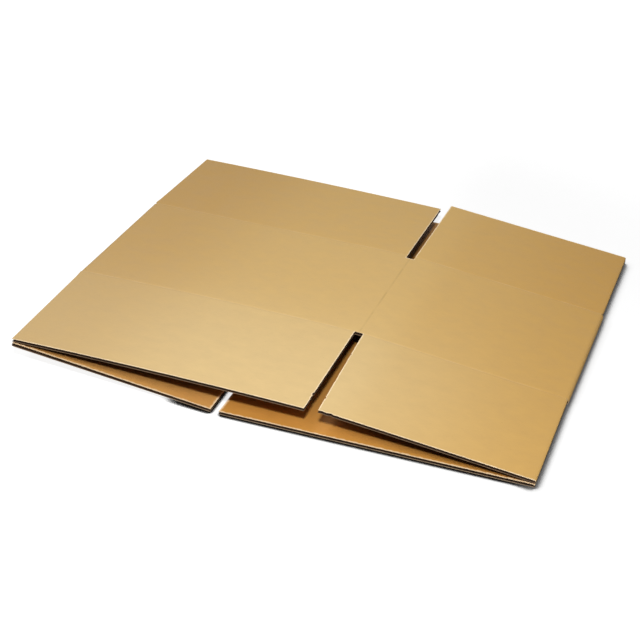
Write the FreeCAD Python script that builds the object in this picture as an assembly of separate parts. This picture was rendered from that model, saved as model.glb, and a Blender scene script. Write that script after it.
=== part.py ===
import FreeCAD, Part
import math
import os

# A slotted box of corrugated board, folded flat and lying on its long panel.
# X runs across the four panels, Y along the flutes, Z up.
# The origin is on the resting surface, under the middle of the flat pack.
# All sizes are in millimetres, and angles in degrees.

# Blank: panels between their scores, and the flaps beyond them
long_panel = 305.0
short_panel = 215.0
panel_depth = 185.0
flap_depth = 149.0

# Corrugated board: two liners with a fluted medium between them
board = 4.0
liner = 0.4
medium = 0.35
flute_pitch = 7.8
crest_land = 0.2
edge_rim = 0.8

# Slots between flaps, cut a little past the back score
slot_width = 8.5
slot_overrun_back = 7.0
short_flap_taper_front = 5.0
short_flap_taper_back = 2.5
flap_set_in = 1.5

# Flat state: how far the pack has sprung open, and how close the layers lie at the folds
spring_gap = 22.0
fold_gap = 0.6
rest_clearance = 0.3
fold_flats = 8

# Glued joint: the tab grows from the lower long panel, under the lower short panel
tab_width = 35.0
tab_inset = 3.0
tab_bevel = 12.0
joint_gap = 1.0

# Scores: shallow grooves pressed into the liner
score_width = 1.6
score_depth = 0.25

# Places worked out from the sizes above, before the origin is moved under the middle
pack_width = long_panel + short_panel
pack_depth = panel_depth + 2 * flap_depth
fold_inner = fold_gap / 2
fold_outer = fold_inner + board
top = 2 * board + spring_gap
front_score = flap_depth
back_score = flap_depth + panel_depth
right_fold = (pack_width - fold_outer, fold_outer)
left_fold = (fold_outer, top - fold_outer)


def slope_past(circle, radius, point):
    """Angle below level of the line through a point that passes a circle at a given radius."""
    run = abs(point[0] - circle[0])
    fall = abs(point[1] - circle[1])
    return math.atan2(fall, run) - math.asin(radius / math.hypot(run, fall))


upper_slope = slope_past(right_fold, fold_outer, (long_panel, top))
lower_slope = slope_past(left_fold, fold_outer + board, (short_panel, 0.0))


class Panel:
    """One flat panel in the section: a start on its underside, a slope and a length."""

    def __init__(self, start, slope, run):
        self.start = start
        self.along = (math.cos(slope), -math.sin(slope))
        self.normal = (math.sin(slope), math.cos(slope))
        self.run = run

    def at(self, u, w):
        """Section point at a distance along the panel and a height in its thickness."""
        x = self.start[0] + u * self.along[0] + w * self.normal[0]
        z = self.start[1] + u * self.along[1] + w * self.normal[1]
        return (x, z)

    def outward(self, side, sag):
        """Direction in which a flap leaves the panel, side -1 at the front and 1 at the back."""
        down = -math.sin(sag)
        return FreeCAD.Vector(down * self.normal[0], side * math.cos(sag), down * self.normal[1])


def off_circle(circle, radius, angle):
    """Section point on a circle, with the angle counted from +X towards +Z."""
    return (circle[0] + radius * math.cos(angle), circle[1] + radius * math.sin(angle))


# The four panels, each between its fold or score and the next
quarter = math.pi / 2
lower_long = Panel((short_panel, 0.0), 0.0, long_panel - fold_outer)
upper_long = Panel((fold_outer, top - board), 0.0, long_panel - fold_outer)

ridge_inside = (long_panel - board * math.tan(upper_slope / 2), top - board)
fold_side = off_circle(right_fold, fold_inner, quarter - upper_slope)
upper_short = Panel(ridge_inside, upper_slope, math.dist(ridge_inside, fold_side))

joint_corner = (short_panel + board * math.tan(lower_slope / 2), board)
fold_under = off_circle(left_fold, fold_outer, -quarter - lower_slope)
lower_short = Panel(fold_under, lower_slope, math.dist(fold_under, joint_corner) - joint_gap)

# Flaps reach past the end of the flat panel at a fold, because they are cut free there
past_fold = fold_outer - flap_set_in
half_slot = slot_width / 2
lower_slot_end = (lower_short.run + joint_gap - half_slot)
slot_end_height = lower_short.at(lower_slot_end, 0.0)[1]
sag_drop = (slot_end_height - rest_clearance) / math.cos(lower_slope)
flap_sag = math.asin(sag_drop / flap_depth)


def in_space(point, y):
    return FreeCAD.Vector(point[0], y, point[1])


def loop(points, y):
    """Closed wire through section points at one depth."""
    corners = [in_space(point, y) for point in points]
    return Part.makePolygon(corners + corners[:1])


def flute_cells(panel, low, high, y):
    """Triangular hollows above and below the fluted medium, as wires."""
    half_base = flute_pitch / 2 - crest_land / 2
    first = low + edge_rim + half_base
    last = high - edge_rim - half_base
    count = int((last - first) / (flute_pitch / 2)) + 1
    centre_shift = (last - first - (count - 1) * flute_pitch / 2) / 2
    wires = []
    for number in range(count):
        middle = first + centre_shift + number * flute_pitch / 2
        if number % 2:
            base, tip = liner, board - liner - medium
        else:
            base, tip = board - liner, liner + medium
        corners = [(middle - half_base, base), (middle + half_base, base), (middle, tip)]
        wires.append(loop([panel.at(u, w) for u, w in corners], y))
    return wires


def section(outline, cells):
    return Part.makeFace([outline] + cells, "Part::FaceMakerBullseye")


def fold_arc(circle, radius, start, end):
    """A board fold: short flats round a circle, as the liner creases."""
    step = (end - start) / fold_flats
    return [off_circle(circle, radius, start + number * step) for number in range(fold_flats + 1)]


# Span of each panel that carries open flutes, clear of folds, scores and slots
flute_span = {
    "lower_long": (lower_long, half_slot, lower_long.run),
    "upper_long": (upper_long, 0.0, upper_long.run - half_slot),
    "upper_short": (upper_short, half_slot + short_flap_taper_front, upper_short.run),
    "lower_short": (lower_short, 0.0, lower_slot_end),
}


def cells_of(name, y):
    panel, low, high = flute_span[name]
    return flute_cells(panel, low, high, y)


def sleeve():
    """The four panels as one strip, folded at both sides, with its ends at the glued joint."""
    outer = [(short_panel, 0.0)]
    outer += fold_arc(right_fold, fold_outer, -quarter, quarter - upper_slope)
    outer += [(long_panel, top)]
    outer += fold_arc(left_fold, fold_outer, quarter, 3 * quarter - lower_slope)
    outer += [lower_short.at(lower_short.run, 0.0)]
    inner = [lower_short.at(lower_short.run, board)]
    inner += fold_arc(left_fold, fold_inner, 3 * quarter - lower_slope, quarter)
    inner += [ridge_inside]
    inner += fold_arc(right_fold, fold_inner, quarter - upper_slope, -quarter)
    inner += [joint_corner]
    cells = []
    for name in flute_span:
        cells += cells_of(name, front_score)
    face = section(loop(outer + inner, front_score), cells)
    return face.extrude(FreeCAD.Vector(0, panel_depth, 0))


def glue_tab():
    """Tab glued under the lower short panel, with bevelled ends."""
    root = (short_panel, 0.0)
    tip_u = lower_short.run + joint_gap - tab_width
    outline = [root, joint_corner, lower_short.at(tip_u, 0.0), lower_short.at(tip_u, -board)]
    front = front_score + tab_inset
    length = panel_depth - 2 * tab_inset
    tab = section(loop(outline, front), []).extrude(FreeCAD.Vector(0, length, 0))
    for edge, side in ((front, 1), (front + length, -1)):
        tip = lower_short.at(tip_u, -2 * board)
        near = in_space(lower_short.at(lower_short.run + joint_gap, -2 * board), edge)
        far = in_space(tip, edge)
        turned = in_space(tip, edge + side * tab_bevel)
        across = lower_short.normal
        wedge = Part.Face(Part.makePolygon([near, far, turned, near]))
        lift = FreeCAD.Vector(across[0], 0, across[1]) * (3 * board)
        tab = tab.cut(wedge.extrude(lift))
    return tab


def flap(name, low, high, side, sag):
    """A flap on the front (side -1) or back (side 1) score of a panel."""
    panel = flute_span[name][0]
    y = front_score if side < 0 else back_score
    corners = [(low, 0.0), (high, 0.0), (high, board), (low, board)]
    outline = loop([panel.at(u, w) for u, w in corners], y)
    face = section(outline, cells_of(name, y))
    return face.extrude(panel.outward(side, sag) * flap_depth)


def tapered(solid, panel, low, side, taper):
    """Trim the slot edge of a flap so that it narrows towards its free end."""
    y = front_score if side < 0 else back_score
    root = in_space(panel.at(low, -board), y)
    out = panel.outward(side, 0.0) * flap_depth
    along = FreeCAD.Vector(panel.along[0], 0, panel.along[1])
    lift = FreeCAD.Vector(panel.normal[0], 0, panel.normal[1]) * (3 * board)
    corners = [root, root + out + along * taper, root + out - along * taper, root]
    return solid.cut(Part.Face(Part.makePolygon(corners)).extrude(lift))


def groove(panel, low, high, y, face_height, rise):
    """Vee that presses a score into one face of a panel; rise is 1 on the top face, else -1."""
    half = score_width / 2
    point = panel.at(low, face_height - rise * score_depth)
    mouth = panel.at(low, face_height + rise * score_depth)
    wide = 2 * half
    corners = [in_space(point, y), in_space(mouth, y - wide), in_space(mouth, y + wide)]
    run = FreeCAD.Vector(panel.along[0], 0, panel.along[1]) * (high - low)
    return Part.Face(Part.makePolygon(corners + corners[:1])).extrude(run)


def slot_box(x, low_z, high_z):
    """Cutter for the short length of slot that runs into the panels at the back."""
    corner = FreeCAD.Vector(x - half_slot, back_score - slot_overrun_back, low_z)
    return Part.makeBox(slot_width, slot_overrun_back + board, high_z - low_z, corner)


def box_sleeve():
    """Panels, glued tab and the four flaps of the lower layer: one folded piece of board."""
    whole = sleeve().fuse(glue_tab())
    middle = (board + top) / 2
    whole = whole.cut(slot_box(long_panel, middle, top + board))
    whole = whole.cut(slot_box(short_panel, -board, middle))
    flaps = []
    for side in (-1, 1):
        flaps.append(flap("lower_long", half_slot, lower_long.run + past_fold, side, 0.0))
        flaps.append(flap("lower_short", -past_fold, lower_slot_end, side, flap_sag))
    whole = whole.fuse(flaps)
    for y in (front_score, back_score):
        high = lower_long.run + past_fold
        whole = whole.cut(groove(lower_long, half_slot, high, y, board, 1))
        whole = whole.cut(groove(upper_long, -fold_outer, upper_long.run, y, board, 1))
        whole = whole.cut(groove(upper_short, 0.0, upper_short.run + fold_outer, y, board, 1))
    return whole.removeSplitter()


def long_flap(side):
    solid = flap("upper_long", -past_fold, upper_long.run - half_slot, side, flap_sag)
    y = front_score if side < 0 else back_score
    return solid.cut(groove(upper_long, -fold_outer, upper_long.run, y, board, 1))


def short_flap(side, taper):
    solid = flap("upper_short", half_slot, upper_short.run + past_fold, side, 0.0)
    solid = tapered(solid, upper_short, half_slot, side, taper)
    y = front_score if side < 0 else back_score
    return solid.cut(groove(upper_short, 0.0, upper_short.run + fold_outer, y, board, 1))


nodes = {
    "box_sleeve": box_sleeve(),
    "long_flap_front": long_flap(-1),
    "long_flap_back": long_flap(1),
    "short_flap_front": short_flap(-1, short_flap_taper_front),
    "short_flap_back": short_flap(1, short_flap_taper_back),
}

to_origin = FreeCAD.Vector(-pack_width / 2, -pack_depth / 2, 0)
os.makedirs("parts", exist_ok=True)
for name, shape in nodes.items():
    shape.translate(to_origin)
    shape.exportStep("parts/" + name + ".step")
    print(name, "solids", len(shape.Solids), "volume", round(shape.Volume), "valid", shape.isValid())

print("upper slope", round(math.degrees(upper_slope), 3), "flap sag", round(math.degrees(flap_sag), 3))
print("top", top, "ridge x", long_panel - pack_width / 2)
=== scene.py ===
import math

import bmesh
import bpy
import numpy as np
from bpy.props import FloatProperty, FloatVectorProperty, IntProperty, PointerProperty
from mathutils import Matrix, Vector, noise


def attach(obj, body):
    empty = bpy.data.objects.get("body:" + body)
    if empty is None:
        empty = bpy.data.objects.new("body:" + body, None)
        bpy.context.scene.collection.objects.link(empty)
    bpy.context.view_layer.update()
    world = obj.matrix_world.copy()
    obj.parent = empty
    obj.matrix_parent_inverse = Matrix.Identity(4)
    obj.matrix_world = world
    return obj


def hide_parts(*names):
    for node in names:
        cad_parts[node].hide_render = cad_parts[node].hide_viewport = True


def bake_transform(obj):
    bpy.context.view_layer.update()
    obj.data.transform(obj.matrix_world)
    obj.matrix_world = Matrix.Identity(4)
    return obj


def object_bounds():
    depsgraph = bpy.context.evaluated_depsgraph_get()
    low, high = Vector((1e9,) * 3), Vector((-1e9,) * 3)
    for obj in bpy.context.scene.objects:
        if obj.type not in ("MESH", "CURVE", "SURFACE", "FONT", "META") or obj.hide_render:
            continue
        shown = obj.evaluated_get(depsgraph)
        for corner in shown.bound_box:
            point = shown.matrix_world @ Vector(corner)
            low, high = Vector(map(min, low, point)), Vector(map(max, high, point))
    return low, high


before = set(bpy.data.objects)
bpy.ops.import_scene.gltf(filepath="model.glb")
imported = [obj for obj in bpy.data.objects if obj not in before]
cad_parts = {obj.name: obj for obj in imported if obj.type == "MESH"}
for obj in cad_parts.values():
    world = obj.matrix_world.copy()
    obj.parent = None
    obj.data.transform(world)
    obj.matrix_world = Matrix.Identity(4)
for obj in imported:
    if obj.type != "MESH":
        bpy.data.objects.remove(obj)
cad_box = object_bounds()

bl_info = {
    "name": "Flattened Carton",
    "version": (1, 0, 0),
    "blender": (4, 5, 0),
    "location": "View3D > Sidebar > Carton",
    "description": "Dresses a slotted carton, folded flat, in its liners and fluted paper",
    "category": "Object",
}

CAD_LOW, CAD_HIGH = cad_box


def length(name, about, metres):
    """A setting that is a length."""
    return FloatProperty(name=name, description=about, default=metres, unit="LENGTH")


def tint(name, about, colour):
    """A setting that is a colour."""
    return FloatVectorProperty(name=name, description=about, size=3, subtype="COLOR", default=colour)


def spot(name, about, place):
    """A setting that is a place."""
    return FloatVectorProperty(name=name, description=about, size=3, subtype="XYZ", default=place)


def turn(name, about, degrees):
    """A setting that is an angle."""
    return FloatProperty(name=name, description=about, default=math.radians(degrees), subtype="ANGLE")


class BoardSizes(bpy.types.PropertyGroup):
    """Corrugated board: two liners with a fluted paper between them."""

    board: length("Board", "Thickness of the whole board", 0.004)
    liner: length("Liner", "Thickness of each liner", 0.0006)
    paper: length("Fluted paper", "Thickness of the fluted paper", 0.0003)
    pitch: length("Flute pitch", "Distance from one flute to the next", 0.0078)
    recess: length("Flute recess", "How far the cut flutes lie back from a cut edge", 0.0024)
    steps: IntProperty(
        name="Steps per flute", description="Flats that make one flute", default=8, min=4, max=24
    )
    groove: length("Score depth", "How far a score is pressed into a liner", 0.00024)
    groove_half: length("Score half width", "Half the width of a score", 0.0013)


class CartonForm(bpy.types.PropertyGroup):
    """The blank's sizes, and how the pack lies."""

    long_panel: length("Long panel", "Long panel between its scores", 0.305)
    short_panel: length("Short panel", "Short panel between its scores", 0.215)
    panel_depth: length("Panel depth", "Panels from front score to back score", 0.185)
    flap_depth: length("Flap depth", "Flap from its score to its free edge", 0.149)
    height: length("Height", "Height of the flat pack at its ridge", CAD_HIGH.z - CAD_LOW.z)
    slot: length("Slot width", "Width of a slot between two flaps", 0.0085)
    slot_overrun: length("Slot overrun", "Slot's reach past the back score", 0.007)
    taper_front: length("Front taper", "Taper of the short front flap", 0.005)
    taper_back: length("Back taper", "Taper of the short back flap", 0.0010)
    taper_long: length("Long taper", "Taper of the long back flap", 0.0030)
    short_cut: length("Shorter back flap", "How much the short back flap is cut back", 0.0032)
    flare: length("Flare", "How far the front flaps spread past the right fold", 0.0013)
    crush: FloatProperty(
        name="Crushed edge", description="Share of the board's thickness lost at a cut edge", default=0.24
    )
    crush_reach: length("Crush reach", "How far in from a cut edge the board is crushed", 0.007)
    spring: length("Springy fold", "How far the left fold stands out", 0.0016)
    skew: length("Skew", "How far the lower flaps stand askew at the glued joint", 0.0053)
    pinch: length("Pinched end", "Length of a flap's pressed end at a fold", 0.0035)
    fold_gap: length("Fold gap", "Gap between layers at a fold", 0.0006)
    set_in: length("Flap set-in", "How far flaps stand in from a fold", 0.0015)
    clearance: length("Clearance", "Gap of the sagging flaps to the floor", 0.0003)
    tab: length("Glue tab", "Width of the tab at the glued joint", 0.035)
    seam: length("Bend reach", "How far from its score a flap bends", 0.0025)
    cell: length("Grid", "Spacing of the liners' grid", 0.009)


class PaperFinish(bpy.types.PropertyGroup):
    """Colours and surface of the papers."""

    outer: tint("Outer liner", "Kraft outside of the carton", (0.62, 0.395, 0.135))
    # Deeper than the outer liner: partly the inside kraft's own colour, partly painted shade of the inside
    # under the upper flaps
    inner: tint("Inner liner", "Kraft inside of the carton", (0.42, 0.205, 0.045))
    # Near black: the flute paper's own darker brown, deepened as painted shade of the gap between the liners
    fluted_shaded: tint("Fluted paper", "Darker paper of the flutes", (0.06, 0.031, 0.017))
    # Pale fibres worn along scores and rims; along the cut rims it is also a painted highlight of the edge
    # catching light
    wear_and_highlight: tint("Worn fibres", "Pale fibres along a rim or a score", (0.94, 0.74, 0.47))
    edge: tint("Cut edge", "Fibres where a liner is cut through", (0.50, 0.37, 0.24))
    roughness: FloatProperty(
        name="Roughness", description="Roughness of the kraft", default=0.58, min=0.0, max=1.0
    )
    mottle: FloatProperty(
        name="Mottle", description="Strength of the cloudy mottling", default=0.035, min=0.0, max=1.0
    )


class StudioSetting(bpy.types.PropertyGroup):
    """Camera and light."""

    azimuth: turn("Azimuth", "Camera's turn round the pack", 17.48)
    elevation: turn("Elevation", "Camera's height above the level", 29.16)
    roll: turn("Roll", "Camera's tilt to one side", 3.81)
    distance: length("Distance", "Camera to its target", 1.63769)
    target: spot("Target", "Point at the middle of the view", (-0.01463, -0.03452, 0.0))
    lens: FloatProperty(name="Lens", description="Focal length in millimetres", default=88.45)
    key: FloatProperty(
        name="Key light", description="Power of the lamp above the camera in watts", default=23.8
    )
    key_size: length("Key size", "Width of the lamp above the camera", 0.17)
    key_place: spot("Key place", "Where the lamp above the camera stands", (0.29, -1.17, 1.13))
    window: FloatProperty(
        name="Window", description="Power of the wide lamp at the left in watts", default=9.5
    )
    window_place: spot("Window place", "Where the wide lamp at the left stands", (-0.90, 0.85, 1.75))
    fill: FloatProperty(name="Room light", description="Strength of the pale surroundings", default=0.14)


# Form of the folded sheet


# How far the paper leaves its flat place, in metres: the droop of the long back flap and of the
# short front flap at their slots, and the crown of the long front flap, which fades over the panel
BACK_DROOP = 0.0046
FRONT_DROOP = 0.0013
CROWN = 0.0018
CROWN_FADE = 0.07


class Column:
    """A line through the board's thickness, and its place along the unfolded sheet."""

    def __init__(self, outer, inner, along, panel=None, share=0.0):
        self.outer = outer
        self.inner = inner
        self.along = along
        self.panel = panel
        self.share = share


class Panel:
    """A flat panel in section: where its underside starts, its slope and its length."""

    def __init__(self, name, start, slope, run, top_is_outer, sag):
        self.name = name
        self.start = start
        self.way = (math.cos(slope), -math.sin(slope))
        self.normal = (math.sin(slope), math.cos(slope))
        self.run = run
        self.top_is_outer = top_is_outer
        self.sag = sag

    def at(self, u, w):
        x = self.start[0] + u * self.way[0] + w * self.normal[0]
        z = self.start[1] + u * self.way[1] + w * self.normal[1]
        return (x, z)


def off_circle(circle, radius, angle):
    return (circle[0] + radius * math.cos(angle), circle[1] + radius * math.sin(angle))


def slope_past(circle, radius, point):
    run = abs(point[0] - circle[0])
    fall = abs(point[1] - circle[1])
    return math.atan2(fall, run) - math.asin(radius / math.hypot(run, fall))


class FoldedSheet:
    """The blank as it lies: four panels, two folds, the ridge, the glued joint and the flaps."""

    def __init__(self, board, form):
        self.board = board.board
        self.liner = board.liner
        self.groove = board.groove
        self.groove_half = board.groove_half
        self.form = form
        self.half_slot = form.slot / 2
        self.score = form.panel_depth / 2
        self.flap_end = self.score + form.flap_depth
        self.seam = self.score - form.seam
        width = form.long_panel + form.short_panel
        left = -width / 2
        self.joint_x = left + form.short_panel
        self.ridge_x = left + form.long_panel
        inner_r = form.fold_gap / 2
        outer_r = inner_r + self.board
        self.fold_inner, self.fold_outer = inner_r, outer_r
        top = form.height
        self.right_fold = (width / 2 - outer_r, outer_r)
        self.left_fold = (left + outer_r, top - outer_r)
        self.upper_slope = slope_past(self.right_fold, outer_r, (self.ridge_x, top))
        self.lower_slope = slope_past(self.left_fold, outer_r + self.board, (self.joint_x, 0.0))
        quarter = math.pi / 2
        self.quarter = quarter
        self.ear = outer_r - form.set_in

        self.ridge_inside = (self.ridge_x - self.board * math.tan(self.upper_slope / 2), top - self.board)
        fold_side = off_circle(self.right_fold, inner_r, quarter - self.upper_slope)
        self.joint_corner = (self.joint_x + self.board * math.tan(self.lower_slope / 2), self.board)
        fold_under = off_circle(self.left_fold, outer_r, -quarter - self.lower_slope)
        lower_run = math.dist(fold_under, self.joint_corner) - 0.001
        lower_short = Panel("lower_short", fold_under, self.lower_slope, lower_run, False, 0.0)
        self.lower_slot_end = lower_run + 0.001 - self.half_slot
        drop = (lower_short.at(self.lower_slot_end, 0.0)[1] - form.clearance) / math.cos(self.lower_slope)
        sag = math.asin(drop / form.flap_depth)
        lower_short.sag = sag
        flat_run = form.long_panel - outer_r
        self.panels = {
            "lower_long": Panel("lower_long", (self.joint_x, 0.0), 0.0, flat_run, False, 0.0),
            "upper_long": Panel("upper_long", (left + outer_r, top - self.board), 0.0, flat_run, True, sag),
            "upper_short": Panel(
                "upper_short",
                self.ridge_inside,
                self.upper_slope,
                math.dist(self.ridge_inside, fold_side),
                True,
                0.0,
            ),
            "lower_short": lower_short,
        }
        # Place of each panel's start along the unfolded sheet, counted from the ridge
        arc = outer_r * math.pi
        short_run = self.panels["upper_short"].run
        self.along = {
            "upper_long": lambda u: u - flat_run,
            "upper_short": lambda u: u,
            "lower_long": lambda u: short_run + arc + flat_run - u,
            "lower_short": lambda u: -flat_run - arc - u,
        }

    def column(self, name, u):
        panel = self.panels[name]
        below, above = panel.at(u, 0.0), panel.at(u, self.board)
        outer, inner = (above, below) if panel.top_is_outer else (below, above)
        return Column(outer, inner, self.along[name](u), panel, u / panel.run)

    def arc(self, circle, start, end, along_start, way, count=12):
        made = []
        for number in range(1, count):
            angle = start + (end - start) * number / count
            along = along_start + way * abs(angle - start) * self.fold_outer
            outer = off_circle(circle, self.fold_outer, angle)
            inner = off_circle(circle, self.fold_inner, angle)
            made.append(Column(outer, inner, along))
        return made

    def groove_at(self, column, y):
        """Depth of the scores at a place, pressed into both faces."""
        across = abs(abs(y) - self.score) / self.groove_half
        pressed = self.groove * math.exp(-across * across)
        if abs(y) < self.flap_end:
            ridge = abs(column.along) / self.groove_half
            if abs(y) < self.score:
                pressed = max(pressed, 0.6 * self.groove * math.exp(-ridge * ridge))
        return pressed

    def settle(self, column, y):
        """How far the paper stands above its flat place: the bow of panels and the droop of corners."""
        panel = column.panel
        if panel is None:
            return 0.0
        past = max(0.0, abs(y) - self.score) / self.form.flap_depth
        share = min(1.0, max(0.0, column.share))
        if panel.name == "upper_long":
            droop = -BACK_DROOP * past ** 1.2 * share ** 2 if y > 0 else 0.0
            fade = math.exp(-((min(0.0, -y - self.score)) / CROWN_FADE) ** 2)
            return droop + CROWN * math.sin(math.pi * share) ** 0.8 * fade
        if panel.name == "upper_short" and y < 0:
            return -FRONT_DROOP * past ** 1.5 * (1.0 - share) ** 2
        return 0.0

    def point(self, column, y, depth):
        """Where a point of the sheet lies, from its column, its place along the flutes and its depth."""
        pressed = self.groove_at(column, y)
        depth = self.crushed(column, y, depth + pressed * (1.0 - 2.0 * depth / self.board))
        depth = self.pinched(column, y, depth)
        share = depth / self.board
        x = column.outer[0] + (column.inner[0] - column.outer[0]) * share
        z = column.outer[1] + (column.inner[1] - column.outer[1]) * share
        past = abs(y) - self.score
        if past > 0 and column.panel is not None:
            drop = math.sin(column.panel.sag) * past
            x -= drop * column.panel.normal[0]
            z -= drop * column.panel.normal[1]
            lie = self.askew(column, y, past)
            y = math.copysign(self.score + past * math.cos(column.panel.sag), y) - lie
            if column.panel.name == "upper_short" and y > 0:
                y -= self.form.short_cut * past / self.form.flap_depth
            if column.panel.name in ("upper_short", "lower_long") and y < 0:
                x += self.form.flare * column.share * past / self.form.flap_depth
        return (x - self.sprung(x, y), y, z + self.settle(column, y))

    def crushed(self, column, y, depth):
        """Depth of a point near a cut edge, where the knife pressed the board thinner from below."""
        panel = column.panel
        if panel is None or abs(y) < self.score + 0.001:
            return depth
        u = column.share * panel.run
        to_slot = {
            "upper_long": panel.run - self.half_slot - u,
            "upper_short": u - self.half_slot,
            "lower_long": u - self.half_slot,
            "lower_short": self.lower_slot_end - u,
        }[panel.name]
        gap = max(0.0, min(self.flap_end - abs(y), to_slot)) / self.form.crush_reach
        if gap >= 1.0:
            return depth
        past = min(1.0, (abs(y) - self.score - 0.001) / 0.010)
        if panel.name == "lower_short":
            past *= column.share
        left = 1.0 - self.form.crush * (1.0 - gap) ** 2 * past
        return depth * left if panel.top_is_outer else self.board - (self.board - depth) * left

    def sprung(self, x, y):
        """How far the left fold springs out beyond its flat place; its flaps follow half way."""
        near = min(1.0, max(0.0, (-0.235 - x) / 0.022))
        past = min(1.0, max(0.0, (abs(y) - self.score) / 0.012))
        return self.form.spring * near * near * (3.0 - 2.0 * near) * (1.0 - 0.5 * past)

    def askew(self, column, y, past):
        """How far a lower flap is drawn to the front, because the joint was glued a little askew."""
        name = column.panel.name
        if name.startswith("upper"):
            return 0.0
        near_joint = column.share if name == "lower_short" else 1.0 - column.share
        drawn = self.form.skew * min(1.0, max(0.0, near_joint)) * past / self.form.flap_depth
        return drawn if y < 0 else 0.6 * drawn

    def pinched(self, column, y, depth):
        """Depth of a point where a flap's end was pressed together at a fold."""
        panel = column.panel
        if panel is None or panel.name == "upper_long" or abs(y) < self.score + 0.001:
            return depth
        u = column.share * panel.run
        gap = u + self.ear if panel.name == "lower_short" else panel.run + self.ear - u
        if gap > self.form.pinch:
            return depth
        gap = max(0.0, gap) / self.form.pinch
        open_share = 0.45 + 0.55 * math.sqrt(1.0 - (1.0 - gap) ** 2)
        return self.board / 2 + (depth - self.board / 2) * open_share


def spaced(low, high, step, near=()):
    """Even values from low to high, with closer ones near some places, none nearly equal."""
    count = max(1, round((high - low) / step))
    values = [low + (high - low) * n / count for n in range(count + 1)]
    exact = [low, high]
    for place, offsets in near:
        exact += [place + o for o in offsets if low < place + o < high]
    kept = []
    for value in sorted(set(exact)):
        if not kept or value - kept[-1] > 1e-5:
            kept.append(value)
    for value in values:
        if min(abs(value - e) for e in kept[: len(exact)]) > step * 0.3:
            kept.append(value)
    return sorted(kept)


def both(*offsets):
    return [-o for o in offsets] + [o for o in offsets if o]


SCORE_ROWS = both(0.0, 0.0005, 0.001, 0.0016, 0.0025, 0.0045)
EDGE_IN = [0.0004, 0.0009, 0.0016, 0.003]
EDGE_OUT = [-o for o in EDGE_IN]


# Small bites along cut edges: edge name, place along the edge, half width, depth
NICKS = (
    ("long_front_slot", -0.2155, 0.0030, 0.0014),
    ("long_front_slot", -0.2215, 0.0022, 0.0006),
    ("short_front_slot", -0.2194, 0.0022, 0.0012),
    ("short_front_slot", -0.1359, 0.0016, 0.0010),
    ("short_front_end", 0.0585, 0.0030, 0.0009),
    ("short_front_end", 0.0665, 0.0022, 0.0012),
    ("short_front_end", 0.0725, 0.0016, 0.0006),
    ("long_back_slot", 0.2345, 0.0060, 0.0006),
)


def ragged(edge, place, seed):
    """How far a cut edge stands in at a place: fine tears, and the nicks that the edge has."""
    fine = noise.noise(Vector((place * 180, seed, 0.3))) + 0.6 * noise.noise(Vector((place * 520, seed, 2.1)))
    bite = 0.00012 * max(-0.6, fine)
    for name, where, half, depth in NICKS:
        if name == edge:
            bite += depth * max(0.0, 1.0 - abs(place - where) / half)
    return bite


class SheetMesh:
    """Collects closed sheets of paper, with their finish and each point's distance to a rim, into one mesh.
    """

    def __init__(self):
        self.points, self.faces, self.finish = [], [], []
        self.blank, self.rim_gaps = [], []

    def add(self, sheet, columns, rows, keep, depths, finishes, shape=None, side=0.0, without_pale_rim=()):
        """One sheet between two depths over the kept cells; finishes are for its faces and its rim.

        The rim where a flap meets the sleeve isn't a cut edge, so it gets no pale rim of wear and painted
        highlight, and neither do the columns named in the last argument.
        """
        across, up = len(columns) - 1, len(rows) - 1
        kept = np.array(
            [[keep(i, (rows[j] + rows[j + 1]) / 2) for j in range(up)] for i in range(across)], bool
        )
        used = np.zeros((across + 1, up + 1), bool)
        free = np.zeros((across + 1, up + 1), bool)
        for di in (0, 1):
            for dj in (0, 1):
                used[di : across + di, dj : up + dj] |= kept
                free[di : across + di, dj : up + dj] |= ~kept
        rim = used & free
        rim[0, :] |= used[0, :]
        rim[-1, :] |= used[-1, :]
        rim[:, 0] |= used[:, 0]
        rim[:, -1] |= used[:, -1]
        along = np.array([c.along for c in columns])
        flat = np.array([[(a, y) for y in rows] for a in along])
        heights = np.abs(np.array(rows))
        joined = (heights > sheet.seam - 1e-5) & (heights < sheet.score + 1e-5)
        plain = np.isin(np.arange(across + 1), without_pale_rim)
        rim_places = flat[rim & ~joined[None, :] & ~plain[:, None]]
        index = {}
        for face, depth in enumerate(depths):
            for i in range(across + 1):
                for j in range(up + 1):
                    if not used[i, j]:
                        continue
                    column, y = (columns[i], rows[j]) if shape is None else shape(i, j, columns[i], rows[j])
                    index[face, i, j] = len(self.points)
                    self.points.append(sheet.point(column, y, depth))
                    self.blank.append((column.along, y, side + depth))
                    gap = np.min(np.hypot(*(rim_places - flat[i, j]).T))
                    self.rim_gaps.append(float(gap))
        for i in range(across):
            for j in range(up):
                if not kept[i, j]:
                    continue
                ring = [(i, j), (i + 1, j), (i + 1, j + 1), (i, j + 1)]
                self.faces.append([index[(0, *p)] for p in ring])
                self.finish.append(finishes[0])
                self.faces.append([index[(1, *p)] for p in reversed(ring)])
                self.finish.append(finishes[1])
                for number, (ni, nj) in enumerate(((i, j - 1), (i + 1, j), (i, j + 1), (i - 1, j))):
                    inside = 0 <= ni < across and 0 <= nj < up
                    if inside and kept[ni, nj]:
                        continue
                    a, b = ring[number], ring[(number + 1) % 4]
                    self.faces.append([index[(0, *b)], index[(0, *a)], index[(1, *a)], index[(1, *b)]])
                    self.finish.append(finishes[2])

    def finished(self, name, materials):
        mesh = bpy.data.meshes.new(name)
        mesh.from_pydata(self.points, [], self.faces)
        for material in materials:
            mesh.materials.append(material)
        mesh.polygons.foreach_set("material_index", self.finish)
        blank = mesh.attributes.new("blank", "FLOAT_VECTOR", "POINT")
        blank.data.foreach_set("vector", np.array(self.blank, np.float32).ravel())
        rim_gaps = mesh.attributes.new("edge_gap", "FLOAT", "POINT")
        rim_gaps.data.foreach_set("value", np.array(self.rim_gaps, np.float32))
        out_faces(mesh)
        piece = bpy.data.objects.new(name, mesh)
        bpy.context.scene.collection.objects.link(piece)
        return piece


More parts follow.
